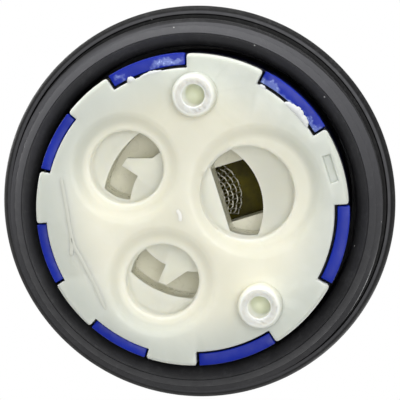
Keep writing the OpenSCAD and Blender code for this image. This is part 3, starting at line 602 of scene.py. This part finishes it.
# A right-hand helical ridge: it stands on a cylinder by its depth, fades at both ends, and is cut off by
# a lower and an upper plane and by a cone that starts at the lower plane
THREAD_INPUTS = ("Radius", "Pitch", "Turns", "Depth", "Root Width", "Crest Width", "Lower End", "Start Angle",
                 "Lower Plane", "Upper Plane", "Cone Radius", "Cone Slope")
thread, thread_in, thread_out = geometry_tree("helical ridge", THREAD_INPUTS)
helix = add(thread, "GeometryNodeCurveSpiral", {"Resolution": THREAD_POINTS_PER_TURN, "Reverse": True})
for socket in ("Start Radius", "End Radius"):
    thread.links.new(thread_in.outputs["Radius"], helix.inputs[socket])
thread.links.new(thread_in.outputs["Turns"], helix.inputs["Rotations"])
thread.links.new(calc(thread, "MULTIPLY", thread_in.outputs["Pitch"], thread_in.outputs["Turns"]),
                 helix.inputs["Height"])
raised = add(thread, "GeometryNodeTransform")
thread.links.new(point(thread, 0.0, 0.0, thread_in.outputs["Lower End"]), raised.inputs["Translation"])
thread.links.new(point(thread, 0.0, 0.0, thread_in.outputs["Start Angle"]), raised.inputs["Rotation"])
upright = add(thread, "GeometryNodeSetCurveNormal", mode="Z_UP")
tooth = add(thread, "GeometryNodeCurvePrimitiveQuadrilateral", mode="POINTS")
tooth_corners = ((None, "Root Width", -0.5), ("Depth", "Crest Width", -0.5), ("Depth", "Crest Width", 0.5),
                 (None, "Root Width", 0.5))
for number, (out, width, half) in enumerate(tooth_corners, start=1):
    thread.links.new(point(thread, thread_in.outputs[out] if out else 0.0,
                           calc(thread, "MULTIPLY", thread_in.outputs[width], half), 0.0),
                     tooth.inputs["Point %d" % number])
ridge = add(thread, "GeometryNodeCurveToMesh", {"Fill Caps": True})
thread.links.new(tooth.outputs[0], ridge.inputs["Profile Curve"])
part_way = add(thread, "GeometryNodeSplineParameter").outputs["Factor"]
from_end = calc(thread, "MINIMUM", part_way, calc(thread, "SUBTRACT", 1.0, part_way))
from_end = calc(thread, "MULTIPLY", from_end, thread_in.outputs["Turns"])
thread.links.new(step(thread, from_end, 0.0, FADE_TURNS, FADE_END, 1.0), ridge.inputs["Scale"])
spun = add(thread, "ShaderNodeSeparateXYZ")
thread.links.new(add(thread, "GeometryNodeInputPosition").outputs[0], spun.inputs[0])
squares = [calc(thread, "MULTIPLY", output, output) for output in spun.outputs[:2]]
radius = calc(thread, "SQRT", calc(thread, "ADD", *squares))
level = calc(thread, "MAXIMUM", spun.outputs["Z"], thread_in.outputs["Lower Plane"])
level = calc(thread, "MINIMUM", level, thread_in.outputs["Upper Plane"])
on_cone = calc(thread, "MULTIPLY", thread_in.outputs["Cone Slope"],
               calc(thread, "SUBTRACT", level, thread_in.outputs["Lower Plane"]))
on_cone = calc(thread, "ADD", thread_in.outputs["Cone Radius"], on_cone)
drawn_in = calc(thread, "DIVIDE", calc(thread, "MINIMUM", radius, on_cone), radius)
trimmed = add(thread, "GeometryNodeSetPosition")
trimmed_xy = [calc(thread, "MULTIPLY", output, drawn_in) for output in spun.outputs[:2]]
thread.links.new(point(thread, *trimmed_xy, level), trimmed.inputs["Position"])
both = add(thread, "GeometryNodeJoinGeometry")
thread.links.new(chain(thread, helix.outputs[0], raised, upright, ridge, trimmed), both.inputs[0])
thread.links.new(thread_in.outputs["Geometry"], both.inputs[0])
close_tree(thread, both.outputs[0], thread_out, nickel)
tapping = grown("screw_thread", thread, {
    "Radius": SCREW_HOLE_R, "Pitch": SCREW_PITCH, "Turns": SCREW_TURNS, "Depth": -SCREW_RIDGE,
    "Root Width": SCREW_ROOT, "Crest Width": SCREW_CREST, "Lower End": -SCREW_PITCH * SCREW_TURNS,
    "Start Angle": 0.0, "Lower Plane": -SCREW_PITCH * (SCREW_TURNS + 1), "Upper Plane": 0.0,
    "Cone Radius": SCREW_HOLE_R, "Cone Slope": 0.0})
tapping.transform(Matrix.Translation(screw["pos_m"])
                  @ Vector((0, 0, 1)).rotation_difference(screw_axis).to_matrix().to_4x4())
finish_piece(show("screw_thread", tapping), nickel, "lever")

# Housing
# A blue moulding snapped over the whole stack. Seven tabs reach into the notches of the base and keep the
# seals pressed together. Two tabs are scuffed white from the snap, and the neck guides the sleeve.
HOUSING_EDGE = 0.12 * MM
BLUE, BLUE_DEEP, SCUFFED_BLUE = (0.005, 0.024, 0.40), (0.003, 0.015, 0.29), (0.42, 0.53, 0.92)
# Painted shade for the wall inside the ring
SHADED_BLUE = (0.002, 0.003, 0.020)
# Inner radius of a hook, radius of the skirt and height of the tab ends: in the solid, and as the
# photograph has them
HOOK_R, FITTED_HOOK_R = 16.55, 16.95
SKIRT_R, FLARED_R = 18.2, 18.4
TAB_END_Z, FITTED_END_Z = 0.35, 0.85
HOOK_TOP_Z = 1.2
# Scuffs on two tabs: first and last direction in degrees, inner and outer radius, and how much of the
# blue is gone
SCUFFS = ((1.0, 14.0, 17.0, 18.0, 0.95), (-13.5, -8.5, 16.7, 17.9, 0.5), (44.0, 77.0, 16.2, 17.4, 1.0),
          (44.0, 54.0, 16.5, 17.8, 0.8), (68.0, 77.0, 16.5, 17.9, 0.8))
SCUFF_FADE_DEG, SCUFF_FADE = 2.5, 0.4
SCUFF_SWAY_DEG, SCUFF_SWAY, SCUFF_SWAY_SCALE = 9.0, 1.5, 1100.0
# Heights between which the scuffs end, and the painted shade inside the ring starts and ends
SCUFF_TOP, SHADE_START, SHADE_STOP = (1.5, 1.1), (1.1, 2.1), (13.4, 12.8)
# How the streaks break up a scuff: from none to full streak, and what is left of the scuff at each
SCUFF_STREAKS = (0.0, 0.7, 0.4, 1.0)
# Values of two noises between which a scuff sets in, how much finer the second is, and the size and the
# share of the grit that shows
BROAD_SCUFF, NARROW_SCUFF, FINER = (0.46, 0.66), (0.36, 0.62), 5.0
GRIT_SIZE, GRIT_SHARE = (0.07, 0.04), (0.86, 0.9)
# Marks of handling: streaks where something rubbed along, and dust
wear, wear_in, wear_out = shader_group("handling marks", [("Scuff Scale", 300.0), ("Dust Scale", 700.0)],
                                       ["Scuff", "Dust"])
place = add(wear, "ShaderNodeTexCoord").outputs["Object"]
broad = add(wear, "ShaderNodeTexNoise", {"Detail": 6.0, "Roughness": 0.7, "Distortion": 1.2})
narrow = add(wear, "ShaderNodeTexNoise", {"Detail": 4.0, "Roughness": 0.6})
grit = add(wear, "ShaderNodeTexVoronoi")
for texture in (broad, narrow, grit):
    wear.links.new(place, texture.inputs["Vector"])
wear.links.new(wear_in.outputs["Scuff Scale"], broad.inputs["Scale"])
wear.links.new(calc(wear, "MULTIPLY", wear_in.outputs["Scuff Scale"], FINER), narrow.inputs["Scale"])
wear.links.new(wear_in.outputs["Dust Scale"], grit.inputs["Scale"])
wear.links.new(calc(wear, "MULTIPLY", step(wear, broad.outputs[0], *BROAD_SCUFF),
                    step(wear, narrow.outputs[0], *NARROW_SCUFF)), wear_out.inputs["Scuff"])
few = add(wear, "ShaderNodeSeparateColor")
wear.links.new(grit.outputs["Color"], few.inputs[0])
wear.links.new(calc(wear, "MULTIPLY", step(wear, grit.outputs["Distance"], *GRIT_SIZE),
                    step(wear, few.outputs[0], *GRIT_SHARE)), wear_out.inputs["Dust"])

blue, tree, shader, tone = moulding("blue moulding", BLUE, BLUE_DEEP, (0.3, 0.45))
where = add(tree, "ShaderNodeGroup", node_tree=spot)
rubs = add(tree, "ShaderNodeGroup", {"Scuff Scale": 1300.0}, node_tree=wear)
sway = add(tree, "ShaderNodeTexNoise", {"Scale": SCUFF_SWAY_SCALE, "Detail": 3.0})
tree.links.new(add(tree, "ShaderNodeTexCoord").outputs["Object"], sway.inputs["Vector"])
sways = add(tree, "ShaderNodeSeparateColor")
tree.links.new(sway.outputs["Color"], sways.inputs[0])
direction = calc(tree, "MULTIPLY_ADD", calc(tree, "SUBTRACT", sways.outputs[0], 0.5), SCUFF_SWAY_DEG,
                 where.outputs["Degrees"])
reach = calc(tree, "MULTIPLY_ADD", calc(tree, "SUBTRACT", sways.outputs[1], 0.5), SCUFF_SWAY,
             where.outputs["Radius"])
scuffed = 0.0
for first, last, inner, outer, gone in SCUFFS:
    around = calc(tree, "MULTIPLY", step(tree, direction, first, first + SCUFF_FADE_DEG),
                  step(tree, direction, last, last - SCUFF_FADE_DEG))
    outwards = calc(tree, "MULTIPLY", step(tree, reach, inner, inner + SCUFF_FADE),
                    step(tree, reach, outer, outer - SCUFF_FADE))
    patch = calc(tree, "MULTIPLY", calc(tree, "MULTIPLY", around, outwards), gone)
    scuffed = calc(tree, "MAXIMUM", scuffed, patch)
scuffed = calc(tree, "MULTIPLY", scuffed, step(tree, where.outputs["Height"], *SCUFF_TOP))
scuffed = calc(tree, "MULTIPLY", scuffed, step(tree, rubs.outputs["Scuff"], *SCUFF_STREAKS))
# Painted shade darkens the wall inside the ring, where little light reaches
in_ring = calc(tree, "MULTIPLY", step(tree, where.outputs["Height"], *SHADE_START),
               step(tree, where.outputs["Height"], *SHADE_STOP))
tone = blend(tree, in_ring, tone, SHADED_BLUE)
tone = blend(tree, calc(tree, "MINIMUM", scuffed, 1.0), tone, SCUFFED_BLUE)
tree.links.new(tone, shader.inputs["Base Color"])
shader.inputs["Specular IOR Level"].default_value = 0.25


def at_tab_end(corner):
    """A corner of the solid, moved where it lies on the end of a tab: deeper in, and further out."""
    radius = corner.xy.length
    out = radius
    if corner.z < HOOK_TOP_Z + SAME_R and abs(radius - HOOK_R) < SAME_R:
        out = FITTED_HOOK_R
    if corner.z < TAB_END_Z + SAME_R and abs(radius - SKIRT_R) < SAME_R:
        out = FLARED_R
    return Vector((*(corner.xy * out / radius), max(corner.z, FITTED_END_Z)))


housing = moulded_copy("cartridge_housing", "housing_moulding", HOUSING_EDGE, fitted=at_tab_end)
finish_piece(housing, blue, "cartridge_body")

# Limit ring
# A small red moulding that drops over two flats on the sleeve. Its lug meets the stops on the neck, so
# the lever turns only so far to the hot and to the cold side.
red = moulding("red moulding", (0.50, 0.02, 0.015), (0.42, 0.015, 0.012), (0.3, 0.45))[0]
finish_piece(moulded_copy("limit_ring", "limit_moulding", SLEEVE_EDGE), red, "sleeve")

# Screw ring
# A black moulded ring that turns freely round the housing. Its thread pulls the cartridge down into the
# tap body, its flange stops on the rim there, and a hexagon above takes the spanner.
RING_BORE_R, RING_NOSE_R, RING_NOSE_Z = 18.95, 20.5, 3.1
LAND_R, LAND_Z, THREAD_CORE_R = 22.1, 4.3, 21.4
NOSE_SLOPE = (LAND_R - RING_NOSE_R) / (LAND_Z - RING_NOSE_Z)
THREAD_Z = RING_NOSE_Z + (THREAD_CORE_R - RING_NOSE_R) / NOSE_SLOPE
FLANGE_R, FLANGE_Z, FLANGE_TOP = 23.5, 8.05, 10.45
FLANGE_EDGE, FLANGE_RIM, FLANGE_TAPER = 0.55, 0.6, 0.4
RELIEF_R, RELIEF_DEPTH = 22.55, 0.25
PARTING_DEPTH = 0.14
HEX_FLAT_R, RING_TOP = 20.0, 16.45
HEX_CHAMFER_R, HEX_CHAMFER_SLOPE = 21.3, 1.7
LIP_R, LIP_Z, LIP_EDGE = 17.5, 13.65, 0.3
RING_STEPS = 360
# The rounded mouth of the bore: how far out from the bore each point lies, and its height
MOUTH_CURVE = ((0.0, 5.0), (0.12, 4.35), (0.4, 3.8), (0.85, 3.4))
# Heights at which the hexagon is drawn, close together where its corners are chamfered
HEX_HEIGHTS = (FLANGE_TOP, 12.5, 14.4, 14.8, 15.2, 15.5, 15.8, 16.1, RING_TOP - 0.08)
RING_PITCH, RING_TURNS = 1.5, 3.6
RIDGE_CREST, RIDGE_ROOT = 0.3, 1.1
# Where the ridge first rises out of the nose, seen from above
RIDGE_START_DEG = -145
SHARP_DEG = 32
BLACK, BLACK_DEEP = (0.028, 0.028, 0.029), (0.020, 0.020, 0.021)
# Dust and painted sheen lighten the black in places, and painted shade darkens it in others
DUST_AND_SHEEN_BLACK, SHADED_BLACK = (0.078, 0.078, 0.084), (0.004, 0.004, 0.004)
# Direction of the side painted lightest, where the light falls, and how much of the dust and painted sheen
# lies on the far side and on the lip
LIT_SIDE_DEG = 10
FAR_SIDE_DUST_AND_SHEEN, LIP_DUST_AND_SHEEN = 0.25, 0.35
SIDE_FADE = 0.7
BLACK_SCUFF, DUST = (0.16, 0.16, 0.165), (0.45, 0.45, 0.44)
FLANGE_DUST_AND_SHEEN, SCUFF_STRENGTH = 0.8, 0.10
# Radii and heights between which the dust and painted sheen and the painted shade fade in and out
LIP_FADE, NOSE_FADE = (RING_BORE_R + 0.4, RING_BORE_R + 0.9), (RING_NOSE_R - 0.12, RING_NOSE_R + 0.08)
NOSE_STOP = (LAND_Z + 0.9, LAND_Z + 0.5)
FLANGE_START, FLANGE_STOP = (FLANGE_Z - 0.3, FLANGE_Z - 0.1), (FLANGE_TOP, FLANGE_TOP - 0.5)
GROOVE_FADE = (RELIEF_R + 0.12, RELIEF_R - 0.02)
EDGE_FADE = (FLANGE_R - FLANGE_EDGE - 0.1, FLANGE_R - FLANGE_EDGE + 0.1)


def hexagon(z, inset=0.0):
    """The ring's outline at a height of the spanner hexagon, whose corners are chamfered at the top."""
    def radius(angle):
        flat = HEX_FLAT_R / math.cos(angle % (math.pi / 3) - math.pi / 6)
        return min(flat, HEX_CHAMFER_R + HEX_CHAMFER_SLOPE * (RING_TOP - z)) - inset
    return radius


def turned(name, profile, steps):
    """A closed mesh of a profile taken round the axis. A radius may be a function of the angle."""
    shape = bmesh.new()
    columns = []
    for i in range(steps):
        angle = 2 * math.pi * i / steps
        columns.append([])
        for radius, z in profile:
            r = (radius(angle) if callable(radius) else radius) * MM
            columns[-1].append(shape.verts.new((r * math.cos(angle), r * math.sin(angle), z * MM)))
    for near, far in zip(columns, columns[1:] + columns[:1]):
        for i in range(len(profile)):
            j = (i + 1) % len(profile)
            shape.faces.new((near[i], far[i], far[j], near[j]))
    bmesh.ops.recalc_face_normals(shape, faces=shape.faces)
    mesh = bpy.data.meshes.new(name)
    shape.to_mesh(mesh)
    shape.free()
    return mesh


# The profile runs from the bore round the nose, the thread's core, the relief groove, the flange and the
# hexagon, and back down inside the lip. Its small steps break the edges.
ring_profile = [(RING_BORE_R + out, z) for out, z in MOUTH_CURVE]
ring_profile += [
    (RING_NOSE_R - 0.2, 3.14), (RING_NOSE_R - 0.06, RING_NOSE_Z),
    (RING_NOSE_R, RING_NOSE_Z + PARTING_DEPTH), (RING_NOSE_R + 0.07, RING_NOSE_Z + 0.03),
    (THREAD_CORE_R - 0.04, THREAD_Z - 0.03), (THREAD_CORE_R, THREAD_Z + 0.04),
    (THREAD_CORE_R, FLANGE_Z + RELIEF_DEPTH - 0.1), (THREAD_CORE_R + 0.1, FLANGE_Z + RELIEF_DEPTH),
    (RELIEF_R - 0.1, FLANGE_Z + RELIEF_DEPTH), (RELIEF_R, FLANGE_Z + 0.06), (RELIEF_R + 0.06, FLANGE_Z),
    (FLANGE_R - FLANGE_EDGE - 0.06, FLANGE_Z), (FLANGE_R - FLANGE_EDGE + 0.04, FLANGE_Z + 0.04),
    (FLANGE_R - 0.03, FLANGE_Z + FLANGE_EDGE - 0.05), (FLANGE_R, FLANGE_Z + FLANGE_EDGE + 0.05),
    (FLANGE_R, FLANGE_Z + FLANGE_EDGE + FLANGE_RIM), (FLANGE_R - FLANGE_TAPER, FLANGE_TOP)]
ring_profile += [(hexagon(z), z) for z in HEX_HEIGHTS]
ring_profile += [(hexagon(RING_TOP, 0.1), RING_TOP), (LIP_R + LIP_EDGE, RING_TOP),
                 (LIP_R, RING_TOP - LIP_EDGE), (LIP_R, LIP_Z), (RING_BORE_R, LIP_Z)]
black, tree, shader, tone = moulding("black moulding", BLACK, BLACK_DEEP, (0.36, 0.52), drift_scale=300.0)
where = add(tree, "ShaderNodeGroup", node_tree=spot)
rubs = add(tree, "ShaderNodeGroup", {"Scuff Scale": 500.0, "Dust Scale": 620.0}, node_tree=wear)
# Dust and painted sheen lighten the nose and the flange, most on the side where the light falls, and painted
# shade darkens the relief groove and the flange's edge
low, out = where.outputs["Height"], where.outputs["Radius"]
side = calc(tree, "RADIANS", calc(tree, "SUBTRACT", where.outputs["Degrees"], LIT_SIDE_DEG))
painted_lit_side = step(tree, calc(tree, "COSINE", side), -SIDE_FADE, SIDE_FADE, FAR_SIDE_DUST_AND_SHEEN, 1.0)
outwards = calc(tree, "ADD", step(tree, out, *LIP_FADE, 0.0, LIP_DUST_AND_SHEEN),
                step(tree, out, *NOSE_FADE, 0.0, 1.0 - LIP_DUST_AND_SHEEN))
on_nose = calc(tree, "MULTIPLY", step(tree, low, *NOSE_STOP), calc(tree, "MULTIPLY", outwards, painted_lit_side))
on_flange = calc(tree, "MULTIPLY", step(tree, low, *FLANGE_START), step(tree, low, *FLANGE_STOP))
in_groove = calc(tree, "MULTIPLY", on_flange, step(tree, out, *GROOVE_FADE))
on_edge = calc(tree, "MULTIPLY", on_flange, step(tree, out, *EDGE_FADE))
tone = blend(tree, on_nose, tone, DUST_AND_SHEEN_BLACK)
tone = blend(tree, calc(tree, "MULTIPLY", on_flange, FLANGE_DUST_AND_SHEEN), tone, DUST_AND_SHEEN_BLACK)
# Painted shade in the relief groove and on the flange's edge
tone = blend(tree, calc(tree, "MAXIMUM", in_groove, on_edge), tone, SHADED_BLACK)
tone = blend(tree, calc(tree, "MULTIPLY", rubs.outputs["Scuff"], SCUFF_STRENGTH), tone, BLACK_SCUFF)
tree.links.new(blend(tree, rubs.outputs["Dust"], tone, DUST), shader.inputs["Base Color"])
shader.inputs["Specular IOR Level"].default_value = 0.2
ring_mesh = grown("threaded_ring", thread, {
    "Radius": THREAD_CORE_R * MM, "Pitch": RING_PITCH * MM, "Turns": RING_TURNS,
    "Depth": (LAND_R - THREAD_CORE_R) * MM, "Root Width": RIDGE_ROOT * MM, "Crest Width": RIDGE_CREST * MM,
    "Lower End": (THREAD_Z - RIDGE_ROOT / 2) * MM, "Start Angle": math.radians(RIDGE_START_DEG),
    "Lower Plane": THREAD_Z * MM, "Upper Plane": FLANGE_Z * MM, "Cone Radius": THREAD_CORE_R * MM,
    "Cone Slope": NOSE_SLOPE}, turned("ring_body", ring_profile, RING_STEPS))
ring_mesh.set_sharp_from_angle(angle=math.radians(SHARP_DEG))
ring = show("threaded_ring", ring_mesh)
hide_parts("screw_ring")
finish_piece(ring, black, "screw_ring")

# Floor, light and camera
# The part stands on its pegs on a pale floor. The photograph looks up at its underside from a little to
# one side, so the floor lets that view and the lamps below through.
FLOOR_SIZE = 3.0
PHOTO_UP = Vector((0.954, 0.299, 0.0)).normalized()
PHOTO_RIGHT = Vector((-0.299, 0.954, 0.0)).normalized()
BELOW = Vector((0.0, 0.0, -1.0))
VIEW_DISTANCE = 0.300
VIEW_TILT = math.radians(8.6)
VIEW_LEAN = math.radians(49.5)
PIXELS = 400
PIXELS_PER_MM = 8.6
BASE_CENTRE_PIXEL = (191.3, 211.0)
SENSOR_MM = 36.0
FLOOR_TONE = (0.85, 0.85, 0.85, 1.0)
FLOOR_ROUGHNESS = 0.8
# How strongly the white room lights the part, and how bright it looks itself
ROOM_LIGHT, ROOM_SEEN = 0.32, 1.0
LAMP_AIM = Vector((0, 0, 0.02))
NEAREST_SEEN = 0.01

bpy.ops.mesh.primitive_plane_add(size=FLOOR_SIZE, location=(0, 0, solids_box[0][2]))
floor = bpy.context.object
floor.name = "floor"
floor.visible_shadow = False
floor.visible_diffuse = False
floor_paint = bpy.data.materials.new("pale floor")
floor_paint.use_nodes = True
tree = floor_paint.node_tree
paint = tree.nodes["Principled BSDF"]
paint.inputs["Base Color"].default_value = FLOOR_TONE
paint.inputs["Roughness"].default_value = FLOOR_ROUGHNESS
either = add(tree, "ShaderNodeMixShader")
tree.links.new(add(tree, "ShaderNodeNewGeometry").outputs["Backfacing"], either.inputs[0])
tree.links.new(paint.outputs[0], either.inputs[1])
tree.links.new(add(tree, "ShaderNodeBsdfTransparent").outputs[0], either.inputs[2])
tree.links.new(either.outputs[0], tree.nodes["Material Output"].inputs["Surface"])
floor.data.materials.append(floor_paint)

world = bpy.data.worlds.new("studio")
bpy.context.scene.world = world
world.use_nodes = True
tree = world.node_tree
room = tree.nodes["Background"]
room.inputs["Color"].default_value = (1, 1, 1, 1)
ray = add(tree, "ShaderNodeLightPath")
seen = calc(tree, "MAXIMUM", ray.outputs["Is Camera Ray"], ray.outputs["Is Transmission Ray"])
seen = calc(tree, "MAXIMUM", seen, ray.outputs["Is Glossy Ray"])
tree.links.new(step(tree, seen, 0.0, 1.0, ROOM_LIGHT, ROOM_SEEN), room.inputs["Strength"])


def softbox(name, place, width, height, power):
    """A lamp that faces the part and isn't seen itself."""
    lamp = bpy.data.lights.new(name, "AREA")
    lamp.shape = "RECTANGLE"
    lamp.size = width
    lamp.size_y = height
    lamp.energy = power
    box = bpy.data.objects.new(name, lamp)
    bpy.context.scene.collection.objects.link(box)
    towards = LAMP_AIM - place
    box.matrix_world = Matrix.Translation(place) @ towards.to_track_quat("-Z", "Y").to_matrix().to_4x4()
    box.visible_camera = False


softbox("front lamp", 0.09 * PHOTO_UP + 0.11 * PHOTO_RIGHT + 0.60 * BELOW, 0.40, 0.40, 2.4)
softbox("side lamp", 0.62 * PHOTO_UP - 0.04 * PHOTO_RIGHT + 0.05 * BELOW, 1.00, 0.24, 4.3)
softbox("lamp above", Vector((0.35, -0.45, 0.60)), 0.45, 0.45, 5.0)
softbox("fill above", Vector((-0.55, 0.25, 0.45)), 0.50, 0.50, 2.2)

lean_side = math.cos(VIEW_LEAN) * PHOTO_RIGHT + math.sin(VIEW_LEAN) * PHOTO_UP
eye = VIEW_DISTANCE * (math.sin(VIEW_TILT) * lean_side + math.cos(VIEW_TILT) * BELOW)
aim = ((PIXELS / 2 - BASE_CENTRE_PIXEL[0]) * PHOTO_RIGHT
       - (PIXELS / 2 - BASE_CENTRE_PIXEL[1]) * PHOTO_UP) / PIXELS_PER_MM * MM
forward = (aim - eye).normalized()
up = (PHOTO_UP - forward * PHOTO_UP.dot(forward)).normalized()
right = forward.cross(up)
lens = bpy.data.cameras.new("camera")
lens.sensor_width = SENSOR_MM
lens.lens = PIXELS_PER_MM * VIEW_DISTANCE / MM * SENSOR_MM / PIXELS
lens.clip_start = NEAREST_SEEN
camera = bpy.data.objects.new("camera", lens)
bpy.context.scene.collection.objects.link(camera)
camera.matrix_world = Matrix.Translation(eye) @ Matrix((right, up, -forward)).transposed().to_4x4()
bpy.context.scene.camera = camera
bpy.context.scene.view_settings.view_transform = "Standard"
